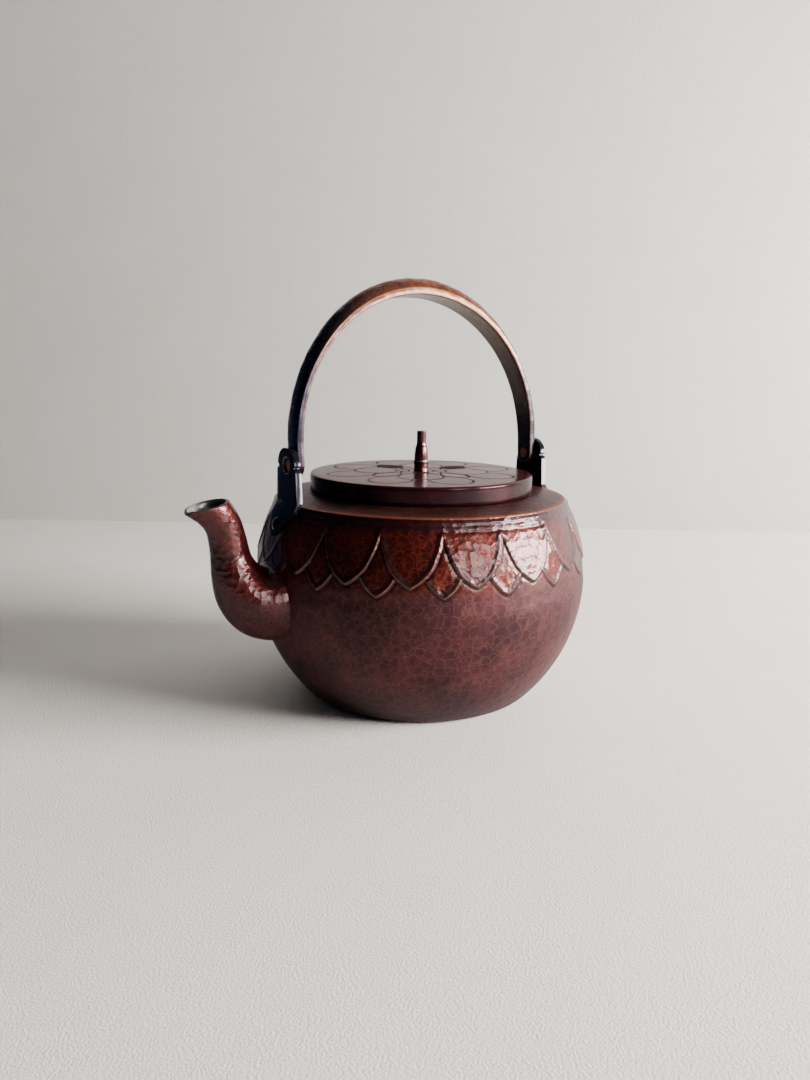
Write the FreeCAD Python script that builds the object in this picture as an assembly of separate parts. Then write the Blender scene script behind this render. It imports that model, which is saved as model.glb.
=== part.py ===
import FreeCAD, Part

import math
import os

# A small hammered copper kettle: a raised body with a sharp shoulder ridge, a soldered mouth collar,
# an S-shaped spout, a cap lid with a stem knob, and a bail handle that swings on two pinned lugs.
# Millimetres, +Z up.  The origin is the centre of the flat base.  The spout points along -X, and the
# handle, the lugs and the spout all stand in the XZ plane.

# ---- driving dimensions -------------------------------------------------------------------------
SHEET = 1.2                # body, collar and spout sheet
BELLY_R = 65.0             # widest radius of the body, and radius of its lower curve
BELLY_Z = 47.5             # height of the widest place
SHOULDER_R = 58.0          # radius of the shoulder curve above the widest place
BASE_CORNER = 7.0          # rounding between the flat base and the belly
NECK_Z = 74.6              # where the shoulder curve ends in the cove under the ridge
COVE_DEPTH = 0.4           # how far the cove is hollowed behind a straight line
RIDGE_R = 56.4             # sharp ridge round the top
RIDGE_Z = 77.9
SEAT_R = 44.6              # flat ring that the lid stands on
SEAT_Z = 79.5

COLLAR_R = 41.7            # outer radius of the collar, which is also the mouth's radius
COLLAR_TOP = 84.3
COLLAR_BOTTOM = 76.6

LID_R = 43.5
LID_SHEET = 1.4
LID_RIM_Z = 86.5           # top of the lid at its rim
LID_CROWN = 0.4            # how much higher the lid is at its middle
LID_EDGE = 0.9             # rounding between the lid's top and its skirt

TENON_R = 1.4              # the knob's tail, riveted under the lid
KNOB_FOOT_R = 3.0
KNOB_FOOT_H = 3.8
KNOB_RING_H = 0.4
KNOB_TOP_Z = 102.6
STEM_R = 2.75              # at the knob's shoulder
NECK_R = 1.85              # at the knob's slim end
WASHER_R = 4.0
WASHER_T = 0.7
TAIL_HEAD_R = 2.4
TAIL_HEAD_H = 0.9

PIN_Z = 91.9               # the handle's swing axis, along X
PIN_R = 2.0
PIN_CLEARANCE = 0.05       # radial, in the handle's eyes
PIN_RECESS = 0.9           # how deep the pin's outer end sits in its countersink
PIN_HEAD_R = 3.2
PIN_HEAD_H = 1.4

LUG_INNER_X = 55.2
LUG_T = 2.2
LUG_HEAD_TOP = 6.1         # above the pin
LUG_HEAD_HALF = 7.5        # half width of the rounded head at the pin
LUG_STEM_HALF = 8.1        # half width just under the head
LUG_BASE_HALF = 9.0        # half width at the shoulder
LUG_NOTCH_R = 1.1
LUG_FOOT_T = 1.8           # thickness of the leaf-shaped foot
LUG_TIP_Z = 66.6

RIVET_Z = 70.6
RIVET_R = 1.5
RIVET_HEAD_R = 2.5
RIVET_HEAD_H = 0.9

HANDLE_GAP = 0.15          # side play between a lug and the handle
HANDLE_EYE_T = 3.2
HANDLE_EYE_HALF = 4.1      # half width of the flat eye at each end
HANDLE_TOP_Z = 160.0
HANDLE_LEG = 8.5           # straight length of each leg above the pin
HANDLE_CROWN_T = 6.6       # thickness at the top of the arch
HANDLE_WIDTH = 11.0        # width of the strap at the top of the arch
HANDLE_EDGE_T = 1.8        # height of the strap's straight edge
HANDLE_SECTIONS = 17
HANDLE_LEAN = 3.7          # degrees off upright towards +Y, where friction holds it

MOUTH_BACK = (80.5, 81.2)  # spout mouth, edge nearest the body: distance out, height
MOUTH_TIP = (94.7, 78.2)   # spout mouth, pouring tip

OUT_DIR = "parts"

# ---- helpers ------------------------------------------------------------------------------------
V = FreeCAD.Vector
AXIS_Z = V(0, 0, 1)
FULL_TURN = 360.0
FRONT = -1                 # side of the kettle that the spout is on
REAR = 1


def line(a, b):
    return Part.makeLine(V(*a), V(*b))


def arc(a, mid, b):
    return Part.Arc(V(*a), V(*mid), V(*b)).toShape()


def rz(r, z):
    """A point of a turned profile."""
    return (r, 0.0, z)


def turned(edges):
    """The solid that a closed profile in the XZ plane makes when it is turned about Z."""
    face = Part.Face(Part.Wire(Part.__sortEdges__(edges)))
    return face.revolve(V(0, 0, 0), AXIS_Z, FULL_TURN)


def tube(r_out, r_in, z_low, z_high):
    outer = Part.makeCylinder(r_out, z_high - z_low, V(0, 0, z_low))
    return outer.cut(Part.makeCylinder(r_in, z_high - z_low, V(0, 0, z_low)))


def curve_point(centre, radius, height):
    """Radius of a body curve at a height."""
    return centre[0] + math.sqrt(radius ** 2 - (height - centre[1]) ** 2)


def arc_between(centre, radius, z_low, z_high):
    """Edge of a body curve, from one height to another, outside its centre."""
    ends = []
    for z in (z_low, 0.5 * (z_low + z_high), z_high):
        ends.append(rz(curve_point(centre, radius, z), z))
    return arc(*ends)


def mirrored_to(shape, side):
    """A shape built on the +X side, put on the side asked for."""
    if side == REAR:
        return shape
    return shape.mirror(V(0, 0, 0), V(1, 0, 0))


LOWER_CENTRE = (0.0, BELLY_Z)
UPPER_CENTRE = (BELLY_R - SHOULDER_R, BELLY_Z)


# ---- body ---------------------------------------------------------------------------------------
def wall_edges(inset):
    """Base, corner and wall of the body up to the neck, moved inwards by inset."""
    corner = BASE_CORNER - inset
    centre_z = BASE_CORNER
    reach = BELLY_R - BASE_CORNER
    centre_r = math.sqrt(reach ** 2 - (BELLY_Z - centre_z) ** 2)
    lean = math.atan2(centre_z - BELLY_Z, centre_r)
    tangent_z = centre_z + corner * math.sin(lean)
    tangent = rz(centre_r + corner * math.cos(lean), tangent_z)
    half = 0.5 * (lean - math.pi / 2)
    middle = rz(centre_r + corner * math.cos(half), centre_z + corner * math.sin(half))
    flat_end = rz(centre_r, inset)
    return [
        line(rz(0, inset), flat_end),
        arc(flat_end, middle, tangent),
        arc_between(LOWER_CENTRE, BELLY_R - inset, tangent_z, BELLY_Z),
        arc_between(UPPER_CENTRE, SHOULDER_R - inset, BELLY_Z, NECK_Z - 0.35 * inset),
    ]


def body_outline():
    """Outer profile from the axis at the base to the mouth, cove and ridge included."""
    neck = rz(curve_point(UPPER_CENTRE, SHOULDER_R, NECK_Z), NECK_Z)
    lip_low = rz(RIDGE_R + 0.1, RIDGE_Z - 0.7)
    lip_mid = rz(RIDGE_R - 0.05, RIDGE_Z - 0.15)
    lip_top = rz(RIDGE_R - 0.5, RIDGE_Z)
    cove = rz(0.5 * (neck[0] + lip_low[0]) - COVE_DEPTH, 0.5 * (neck[2] + lip_low[2]) - 0.6 * COVE_DEPTH)
    edges = wall_edges(0.0)
    edges.append(arc(neck, cove, lip_low))
    edges.append(arc(lip_low, lip_mid, lip_top))
    edges.append(line(lip_top, rz(SEAT_R, SEAT_Z)))
    edges.append(line(rz(SEAT_R, SEAT_Z), rz(COLLAR_R, SEAT_Z)))
    return edges


def body_block():
    """The body as if it were solid, to trim what is soldered or riveted on it."""
    edges = body_outline()
    edges.append(line(rz(COLLAR_R, SEAT_Z), rz(0, SEAT_Z)))
    edges.append(line(rz(0, SEAT_Z), rz(0, 0)))
    return turned(edges)


def body_shell():
    inner_neck_z = NECK_Z - 0.35 * SHEET
    inner_neck = rz(curve_point(UPPER_CENTRE, SHOULDER_R - SHEET, inner_neck_z), inner_neck_z)
    under_ridge = rz(RIDGE_R - 1.1, RIDGE_Z - 1.2)
    under_seat = rz(SEAT_R, SEAT_Z - SHEET)
    under_mouth = rz(COLLAR_R, SEAT_Z - SHEET)
    edges = body_outline()
    edges += wall_edges(SHEET)
    edges.append(line(inner_neck, under_ridge))
    edges.append(line(under_ridge, under_seat))
    edges.append(line(under_seat, under_mouth))
    edges.append(line(under_mouth, rz(COLLAR_R, SEAT_Z)))
    edges.append(line(rz(0, 0), rz(0, SHEET)))
    return turned(edges)


# ---- spout --------------------------------------------------------------------------------------
# Each section of the spout's middle line: distance out from the axis, height, direction in degrees
# above level, half height across the curve, half width across the kettle.
SPOUT_SECTIONS = [
    (50.0, 42.6, 0.0, 14.7, 14.7),
    (57.0, 42.6, 0.0, 14.7, 14.7),
    (64.0, 42.7, 3.0, 14.5, 14.6),
    (70.0, 44.3, 24.0, 13.3, 13.7),
    (74.4, 48.6, 50.0, 11.2, 11.9),
    (77.2, 54.4, 72.0, 8.9, 9.4),
    (78.9, 60.4, 83.0, 7.2, 7.4),
    (79.9, 66.6, 81.0, 6.6, 6.8),
    (81.4, 72.4, 71.0, 6.4, 6.8),
    (84.6, 77.4, 55.0, 6.6, 7.3),
    (89.6, 82.4, 42.0, 7.3, 7.7),
]
SPOUT_POINTS = 16          # points round each section


def spout_section(out, height, lean, half_high, half_wide, inset):
    """Closed smooth outline across the spout's middle line."""
    lean = math.radians(lean)
    centre = V(-out, 0, height)
    across = V(math.sin(lean), 0, math.cos(lean))
    sideways = V(0, 1, 0)
    points = []
    for k in range(SPOUT_POINTS):
        turn = 2 * math.pi * k / SPOUT_POINTS
        high = (half_high - inset) * math.cos(turn)
        wide = (half_wide - inset) * math.sin(turn)
        points.append(centre + across * high + sideways * wide)
    curve = Part.BSplineCurve()
    curve.interpolate(points, PeriodicFlag=True)
    return Part.Wire(curve.toShape())


def spout_core(inset):
    """The spout as a solid from inside the body to past its mouth, its walls moved inwards by inset."""
    return Part.makeLoft([spout_section(*row, inset) for row in SPOUT_SECTIONS], True, False)


def above_mouth():
    """Everything above the plane of the spout's mouth."""
    far = 60.0
    back = V(-MOUTH_BACK[0], 0, MOUTH_BACK[1])
    tip = V(-MOUTH_TIP[0], 0, MOUTH_TIP[1])
    along = (tip - back).normalize()
    up = along.cross(V(0, 1, 0)).normalize()
    if up.z < 0:
        up = up * -1
    low = back - along * far - V(0, far, 0)
    corners = [low, low + along * 2 * far, low + along * 2 * far + V(0, 2 * far, 0), low + V(0, 2 * far, 0)]
    face = Part.Face(Part.makePolygon(corners + [low]))
    return face.extrude(up * far)


def spout(block):
    pipe = spout_core(0.0).cut(spout_core(SHEET))
    pipe = pipe.cut(above_mouth())
    return pipe.cut(block)


# ---- lugs ---------------------------------------------------------------------------------------
def lug_plate():
    """Upright plate with a round, notched head, on the +X side."""
    x = LUG_INNER_X
    base_z = RIDGE_Z - 2.5
    top = (x, 0, PIN_Z + LUG_HEAD_TOP)
    notch_low = PIN_Z - LUG_NOTCH_R
    stem_z = PIN_Z - 2.4
    edges = []
    for side in (-1, 1):
        head = (x, side * LUG_HEAD_HALF, PIN_Z + 0.2)
        shoulder = (x, side * LUG_HEAD_HALF * 0.72, PIN_Z + 0.72 * LUG_HEAD_TOP)
        notch = (x, side * (LUG_HEAD_HALF - LUG_NOTCH_R), PIN_Z - 0.3)
        under = (x, side * LUG_HEAD_HALF, notch_low)
        stem = (x, side * LUG_STEM_HALF, stem_z)
        base = (x, side * LUG_BASE_HALF, base_z)
        edges.append(arc(top, shoulder, head))
        edges.append(arc(head, notch, under))
        edges.append(line(under, stem))
        edges.append(line(stem, base))
    edges.append(line((x, -LUG_BASE_HALF, base_z), (x, LUG_BASE_HALF, base_z)))
    outline = Part.Wire(Part.__sortEdges__(edges))
    return Part.Face(outline).extrude(V(LUG_T, 0, 0))


def lug_foot():
    """Leaf that lies on the shoulder, from the ridge down to its tip."""
    low = LUG_TIP_Z - 3
    high = RIDGE_Z + 1.1
    inner = arc_between(UPPER_CENTRE, SHOULDER_R, low, high)
    outer = arc_between(UPPER_CENTRE, SHOULDER_R + LUG_FOOT_T, low, high)
    ends = []
    for z in (low, high):
        inside = rz(curve_point(UPPER_CENTRE, SHOULDER_R, z), z)
        outside = rz(curve_point(UPPER_CENTRE, SHOULDER_R + LUG_FOOT_T, z), z)
        ends.append(line(inside, outside))
    skin = turned([inner, outer] + ends)
    x = 40.0
    tip = (x, 0, LUG_TIP_Z)
    edges = [line((x, -LUG_BASE_HALF, high), (x, LUG_BASE_HALF, high))]
    for side in (-1, 1):
        top = (x, side * LUG_BASE_HALF, high)
        corner = (x, side * LUG_BASE_HALF, RIDGE_Z - 1.4)
        bulge = (x, side * LUG_BASE_HALF * 0.55, LUG_TIP_Z + 3.6)
        edges.append(line(top, corner))
        edges.append(arc(corner, bulge, tip))
    leaf = Part.Face(Part.Wire(Part.__sortEdges__(edges))).extrude(V(40, 0, 0))
    return skin.common(leaf)


def rivet_axis():
    """A point on the shoulder and the outward direction there, for the foot's rivet (+X side)."""
    point = V(curve_point(UPPER_CENTRE, SHOULDER_R, RIVET_Z), 0, RIVET_Z)
    direction = (point - V(UPPER_CENTRE[0], 0, UPPER_CENTRE[1])).normalize()
    return point, direction


def lug(block):
    shape = lug_plate().fuse(lug_foot()).cut(block)
    far = LUG_INNER_X + LUG_T
    hole = Part.makeCylinder(PIN_R, LUG_T + 2, V(LUG_INNER_X - 1, 0, PIN_Z), V(1, 0, 0))
    sink_r = PIN_R + PIN_RECESS
    sink = Part.makeCone(PIN_R, sink_r, PIN_RECESS, V(far - PIN_RECESS, 0, PIN_Z), V(1, 0, 0))
    point, direction = rivet_axis()
    shank = Part.makeCylinder(RIVET_R, 8, point - direction * 4, direction)
    return shape.cut(hole).cut(sink).cut(shank).removeSplitter()


def dome(radius, height, base, direction):
    """A low round rivet head standing on a base point."""
    ball_r = (radius ** 2 + height ** 2) / (2 * height)
    ball = Part.makeSphere(ball_r, base + direction * (height - ball_r))
    return ball.common(Part.makeCylinder(radius, height, base, direction))


def lug_rivet():
    """Copper rivet through the foot's tip and the body's wall, burred over inside."""
    point, direction = rivet_axis()
    outside = point + direction * LUG_FOOT_T
    inside = point - direction * SHEET
    shank = Part.makeCylinder(RIVET_R, LUG_FOOT_T + SHEET, inside, direction)
    head = dome(RIVET_HEAD_R, RIVET_HEAD_H, outside, direction)
    tail = dome(RIVET_HEAD_R, RIVET_HEAD_H, inside, direction * -1)
    return shank.fuse(head).fuse(tail).removeSplitter()


# ---- handle -------------------------------------------------------------------------------------
EYE_OUTER_X = LUG_INNER_X - HANDLE_GAP
EYE_INNER_X = EYE_OUTER_X - HANDLE_EYE_T
ARCH_START_Z = PIN_Z + HANDLE_LEG
ARCH_RISE = HANDLE_TOP_Z - HANDLE_CROWN_T - ARCH_START_Z


def handle_section(turn):
    """D-shaped section of the strap at an angle along the arch, flat side inwards."""
    rise = math.sin(turn)
    thick = HANDLE_EYE_T + (HANDLE_CROWN_T - HANDLE_EYE_T) * rise ** 2
    edge = HANDLE_EDGE_T + (HANDLE_EYE_T - HANDLE_EDGE_T - 0.4) * (1 - rise) ** 2
    half = HANDLE_EYE_HALF + (0.5 * HANDLE_WIDTH - HANDLE_EYE_HALF) * math.sqrt(rise)
    inner = V(-EYE_INNER_X * math.cos(turn), 0, ARCH_START_Z + ARCH_RISE * rise)
    normal = V(-math.cos(turn) * ARCH_RISE, 0, rise * EYE_INNER_X).normalize()
    side = V(0, half, 0)
    low_a = inner - side
    low_b = inner + side
    high_a = low_a + normal * edge
    high_b = low_b + normal * edge
    crown = Part.Arc(high_b, inner + normal * thick, high_a).toShape()
    return Part.Wire([Part.makeLine(low_a, low_b), Part.makeLine(low_b, high_b), crown,
                      Part.makeLine(high_a, low_a)])


def handle():
    turns = [math.pi * k / (HANDLE_SECTIONS - 1) for k in range(HANDLE_SECTIONS)]
    shape = Part.makeLoft([handle_section(turn) for turn in turns], True, False)
    for side in (FRONT, REAR):
        leg = Part.makeBox(HANDLE_EYE_T, 2 * HANDLE_EYE_HALF, ARCH_START_Z - PIN_Z,
                           V(EYE_INNER_X, -HANDLE_EYE_HALF, PIN_Z))
        rounded = Part.makeCylinder(HANDLE_EYE_HALF, HANDLE_EYE_T, V(EYE_INNER_X, 0, PIN_Z), V(1, 0, 0))
        hole = Part.makeCylinder(PIN_R + PIN_CLEARANCE, HANDLE_EYE_T + 2, V(EYE_INNER_X - 1, 0, PIN_Z),
                                 V(1, 0, 0))
        eye = leg.fuse(rounded).removeSplitter()
        shape = shape.fuse(mirrored_to(eye, side)).cut(mirrored_to(hole, side))
    shape.rotate(V(0, 0, PIN_Z), V(1, 0, 0), -HANDLE_LEAN)
    return shape


def handle_pin():
    """Pin fixed in the lug: sunk outer end, domed head inside the handle's eye."""
    end = LUG_INNER_X + LUG_T - PIN_RECESS
    head_x = EYE_INNER_X - 0.1
    shank = Part.makeCylinder(PIN_R, end - head_x, V(head_x, 0, PIN_Z), V(1, 0, 0))
    head = dome(PIN_HEAD_R, PIN_HEAD_H, V(head_x, 0, PIN_Z), V(-1, 0, 0))
    return shank.fuse(head).removeSplitter()


# ---- lid ----------------------------------------------------------------------------------------
def lid_cap():
    """Flat cap with a slightly crowned top and a straight skirt that fits over the collar."""
    flat_r = LID_R - LID_EDGE
    inner_r = LID_R - LID_SHEET
    crown_z = LID_RIM_Z + LID_CROWN
    top = rz(0, crown_z)
    top_mid = rz(0.5 * flat_r, LID_RIM_Z + 0.75 * LID_CROWN)
    top_end = rz(flat_r, LID_RIM_Z)
    edge_mid = rz(LID_R - 0.293 * LID_EDGE, LID_RIM_Z - 0.293 * LID_EDGE)
    side_top = rz(LID_R, LID_RIM_Z - LID_EDGE)
    under = LID_RIM_Z - LID_SHEET
    edges = [
        arc(top, top_mid, top_end),
        arc(top_end, edge_mid, side_top),
        line(side_top, rz(LID_R, SEAT_Z)),
        line(rz(LID_R, SEAT_Z), rz(inner_r, SEAT_Z)),
        line(rz(inner_r, SEAT_Z), rz(inner_r, under)),
        line(rz(inner_r, under), rz(0, under)),
        line(rz(0, under), top),
    ]
    hole = Part.makeCylinder(TENON_R, 10, V(0, 0, under - 4))
    return turned(edges).cut(hole)


FOOT_Z = LID_RIM_Z + LID_CROWN
RING_Z = FOOT_Z + KNOB_FOOT_H
STEM_Z = RING_Z + KNOB_RING_H
LID_UNDER_Z = LID_RIM_Z - LID_SHEET


def knob_foot():
    """Turned foot of the knob, slightly waisted, standing on the lid."""
    middle_z = 0.5 * (FOOT_Z + RING_Z)
    edges = [
        line(rz(TENON_R, FOOT_Z), rz(KNOB_FOOT_R, FOOT_Z)),
        arc(rz(KNOB_FOOT_R, FOOT_Z), rz(KNOB_FOOT_R - 0.25, middle_z), rz(KNOB_FOOT_R - 0.1, RING_Z)),
        line(rz(KNOB_FOOT_R - 0.1, RING_Z), rz(TENON_R, RING_Z)),
        line(rz(TENON_R, RING_Z), rz(TENON_R, FOOT_Z)),
    ]
    return turned(edges)


def knob_ring():
    return tube(KNOB_FOOT_R + 0.1, TENON_R, RING_Z, STEM_Z)


def knob_washer():
    return tube(WASHER_R, TENON_R, LID_UNDER_Z - WASHER_T, LID_UNDER_Z)


def lid_knob():
    """Stem with a bottle-like shoulder and a slim neck, and the tail riveted over the washer."""
    tail_z = LID_UNDER_Z - WASHER_T
    waist = rz(0.5 * (STEM_R + NECK_R), STEM_Z + 5.2)
    neck_low = rz(NECK_R, STEM_Z + 7.6)
    neck_high = rz(NECK_R, KNOB_TOP_Z - 0.4)
    crown = rz(NECK_R - 0.4, KNOB_TOP_Z)
    edges = [
        line(rz(0, tail_z), rz(TENON_R, tail_z)),
        line(rz(TENON_R, tail_z), rz(TENON_R, STEM_Z)),
        line(rz(TENON_R, STEM_Z), rz(STEM_R, STEM_Z)),
        arc(rz(STEM_R, STEM_Z), rz(STEM_R - 0.1, STEM_Z + 2.7), waist),
        arc(waist, rz(NECK_R + 0.1, STEM_Z + 6.3), neck_low),
        line(neck_low, neck_high),
        arc(neck_high, rz(NECK_R - 0.12, KNOB_TOP_Z - 0.12), crown),
        line(crown, rz(0, KNOB_TOP_Z)),
        line(rz(0, KNOB_TOP_Z), rz(0, tail_z)),
    ]
    tail = dome(TAIL_HEAD_R, TAIL_HEAD_H, V(0, 0, tail_z), V(0, 0, -1))
    return turned(edges).fuse(tail).removeSplitter()


# ---- the parts ----------------------------------------------------------------------------------
def build():
    block = body_block()
    point, direction = rivet_axis()
    rivet_hole = Part.makeCylinder(RIVET_R, 8, point - direction * 4, direction)
    body = body_shell().cut(spout_core(SHEET))
    for side in (FRONT, REAR):
        body = body.cut(mirrored_to(rivet_hole, side))
    parts = {
        "kettle_body": body,
        "mouth_collar": tube(COLLAR_R, COLLAR_R - SHEET, COLLAR_BOTTOM, COLLAR_TOP),
        "spout": spout(block),
        "handle": handle(),
        "lid_cap": lid_cap(),
        "knob_foot": knob_foot(),
        "knob_ring": knob_ring(),
        "knob_washer": knob_washer(),
        "lid_knob": lid_knob(),
    }
    for name, side in (("front", FRONT), ("rear", REAR)):
        parts[name + "_lug"] = mirrored_to(lug(block), side)
        parts[name + "_lug_rivet"] = mirrored_to(lug_rivet(), side)
        parts[name + "_pin"] = mirrored_to(handle_pin(), side)
    return parts


os.makedirs(OUT_DIR, exist_ok=True)
for name, shape in build().items():
    solids = shape.Solids
    print(name, "solids", len(solids), "valid", shape.isValid(), "volume", round(shape.Volume, 1))
    shape.exportStep(OUT_DIR + "/" + name + ".step")
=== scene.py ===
import math

import bmesh
import bpy
import numpy as np
from mathutils import Matrix, Vector


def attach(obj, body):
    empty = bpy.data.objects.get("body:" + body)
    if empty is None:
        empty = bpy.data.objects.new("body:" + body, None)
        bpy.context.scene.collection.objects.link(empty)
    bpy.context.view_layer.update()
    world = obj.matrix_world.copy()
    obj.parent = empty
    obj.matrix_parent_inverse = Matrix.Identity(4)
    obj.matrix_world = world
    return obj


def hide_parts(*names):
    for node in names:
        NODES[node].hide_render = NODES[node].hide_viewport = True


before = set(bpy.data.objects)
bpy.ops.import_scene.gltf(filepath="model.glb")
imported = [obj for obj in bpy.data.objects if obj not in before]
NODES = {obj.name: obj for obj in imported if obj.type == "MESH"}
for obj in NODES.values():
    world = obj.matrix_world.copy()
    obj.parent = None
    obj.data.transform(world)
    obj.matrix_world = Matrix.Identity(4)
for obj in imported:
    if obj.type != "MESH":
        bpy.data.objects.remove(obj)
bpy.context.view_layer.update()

MM = 0.001
TAU = 2 * math.pi

# A small raised copper kettle: hammered body with a chased petal band, S-shaped spout, cap lid with a
# chased flower, and a forged bail handle.  Lengths below are millimetres, and MM turns them into the
# frame's metres.

# ---- sizes, those of the frame's solids ---------------------------------------------------------
BELLY_R, BELLY_Z = 65.0, 47.5
SHOULDER_R = 58.0
SHOULDER_CENTRE_R = BELLY_R - SHOULDER_R
BASE_CORNER = 7.0
NECK_Z = 74.6
RIDGE_R, RIDGE_Z = 56.4, 77.9
SEAT_R, SEAT_Z = 44.6, 79.5
MOUTH_R = 41.7
SHEET = 1.2
LID_R = 43.5
LID_SHEET = 1.4
LID_RIM_Z = 86.5
LID_CROWN = 0.4
LID_EDGE = 0.9
TENON_R = 1.4
PIN_Z = 91.9
PIN_HOLE_R = 2.9           # mouth of the lug's countersunk hole
SKIN_GAP = 0.02            # how far a skin stands inside the solid it replaces

# ---- chased petal band --------------------------------------------------------------------------
PETALS = 18
PETAL_PITCH = TAU / PETALS
PETAL_TURN = math.radians(-5.6)     # direction of one big petal's tip
PETAL_TIP_Z = 56.0
PETAL_TIP_RISE = math.asin((PETAL_TIP_Z - BELLY_Z) / SHOULDER_R)
# Centre (beside the petal's middle line, above its tip) and radius of the arcs that bound a petal.
BIG_FLANK = (-19.4, 19.7, 29.6)
BIG_FOOT = (-8.66, 16.97, 19.05)
SMALL_FOOT = (-7.5, 9.6, 15.0)
PETAL_TOP = 18.2           # the band fades into the cove at this distance above the tips
PLATE_RISE = 0.2           # how far a big petal stands over the ground between the petals
PLATE_SINK = 0.2           # how far its middle lies inside the solid's surface
CREST = 0.4                # how far its border rises over its middle
SMALL_RISE, SMALL_CREST = 0.1, 0.36
SLOPE_FROM, SLOPE_TO = -2.3, -0.15       # where the border rises, measured outwards from the edge
SLOPE_CURVE = 1.7
GROOVE_AT, GROOVE_HALF, GROOVE_DEPTH = 0.7, 0.6, 0.2

CHASED_FROM, CHASED_FULL = 46.0, 51.0    # heights between which the chasing sets in

FACET = 3.6                # one hammer mark across
FACET_DEPTH = 0.05
DISH_REACH = 0.45          # square of the distance, in marks, at which a mark's dish ends
DISH_GAIN = 2.2
PETAL_FACET = 2.7          # the smaller marks inside the petals


def srgb(code):
    """Linear colour of an sRGB hex code."""
    values = [int(code[i:i + 2], 16) / 255 for i in (0, 2, 4)]
    return [v / 12.92 if v <= 0.04045 else ((v + 0.055) / 1.055) ** 2.4 for v in values] + [1.0]


# ---- nodes --------------------------------------------------------------------------------------
MATH, VECTOR, MIX, RANGE = "ShaderNodeMath", "ShaderNodeVectorMath", "ShaderNodeMix", "ShaderNodeMapRange"
VORONOI, NOISE, SPLIT, JOIN = ("ShaderNodeTexVoronoi", "ShaderNodeTexNoise", "ShaderNodeSeparateXYZ",
                               "ShaderNodeCombineXYZ")
BUMP = "ShaderNodeBump"
TIMES, TIMES_PLUS, LESS = ({"operation": name} for name in ("MULTIPLY", "MULTIPLY_ADD", "SUBTRACT"))
LARGER, SCALED = {"operation": "MAXIMUM"}, {"operation": "SCALE"}
SOFTLY = {"interpolation_type": "SMOOTHSTEP"}      # from 0 to 1 with a soft change between two values
COLOURS = {"data_type": "RGBA"}


def feed(tree, target, value):
    """Sets an input socket to a value, or links it to a socket or to a node's first result."""
    if isinstance(value, bpy.types.Node):
        value = next(s for s in value.outputs if s.enabled)
    if isinstance(value, bpy.types.NodeSocket):
        tree.links.new(value, target)
    elif value is not None:
        target.default_value = value


def add(tree, kind, *values, named=None, **settings):
    """Adds a node with its settings, and feeds its first inputs and its named ones."""
    made = tree.nodes.new(kind)
    for key, value in settings.items():
        setattr(made, key, value)
    inputs = [s for s in made.inputs if s.enabled]
    for target, value in zip(inputs, values):
        feed(tree, target, value)
    for key, value in (named or {}).items():
        feed(tree, next(s for s in inputs if s.name == key), value)
    return made


def bump_at(tree, value, middle, half):
    """A smooth ridge profile, 1 where value is middle and 0 more than half away from it."""
    away = add(tree, MATH, add(tree, MATH, value, middle, **LESS), operation="ABSOLUTE")
    return add(tree, RANGE, away, 0.0, half, 1.0, 0.0, **SOFTLY)


def circle_distance(tree, across, along, circle):
    """Distance outside a circle given as centre across, centre along and radius."""
    spot = add(tree, JOIN, across, along, 0.0)
    gap = add(tree, VECTOR, spot, (circle[0], circle[1], 0.0), operation="DISTANCE").outputs["Value"]
    return add(tree, MATH, gap, circle[2], **LESS)


def polar(tree, place):
    """Direction and radius of a place about the kettle's axis, and the split place."""
    split = add(tree, SPLIT, place)
    turn = add(tree, MATH, split.outputs["Y"], split.outputs["X"], operation="ARCTAN2")
    flat = add(tree, JOIN, split.outputs["X"], split.outputs["Y"], 0.0)
    radius = add(tree, VECTOR, flat, operation="LENGTH").outputs["Value"]
    return turn, radius, split


def petal_fields(tree, place):
    """Distances in mm outside the big and the small petals, and height above the big petals' tips."""
    turn, radius, split = polar(tree, place)
    shifted = add(tree, MATH, turn, PETAL_TURN, **LESS)
    fold = add(tree, MATH, shifted, PETAL_PITCH / 2, operation="PINGPONG")
    across = add(tree, MATH, fold, radius, **TIMES)
    rest = add(tree, MATH, PETAL_PITCH / 2, fold, **LESS)
    across_small = add(tree, MATH, rest, radius, **TIMES)
    sine = add(tree, MATH, split.outputs["Z"], -BELLY_Z, operation="ADD")
    sine = add(tree, MATH, sine, 1 / SHOULDER_R, **TIMES)
    rise = add(tree, MATH, add(tree, MATH, sine, 0.98, operation="MINIMUM"), operation="ARCSINE")
    above = add(tree, MATH, rise, PETAL_TIP_RISE, **LESS)
    along = add(tree, MATH, above, SHOULDER_R, **TIMES)
    flank = circle_distance(tree, across, along, BIG_FLANK)
    foot = circle_distance(tree, across, along, BIG_FOOT)
    big = add(tree, MATH, flank, foot, **LARGER)
    small = circle_distance(tree, across_small, along, SMALL_FOOT)
    return big, small, along


def edge_profile(tree, gap, plate, crest):
    """Height in mm across one petal's border: plate, slope up to a sharp crest, then a groove outside."""
    inside = add(tree, RANGE, gap, 0.35, -0.2, **SOFTLY)
    slope = add(tree, RANGE, gap, SLOPE_FROM, SLOPE_TO)
    slope = add(tree, MATH, slope, SLOPE_CURVE, operation="POWER")
    height = add(tree, MATH, add(tree, MATH, slope, crest, plate, **TIMES_PLUS), inside, **TIMES)
    groove = bump_at(tree, gap, GROOVE_AT, GROOVE_HALF)
    return add(tree, MATH, groove, -GROOVE_DEPTH, height, **TIMES_PLUS)


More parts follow.
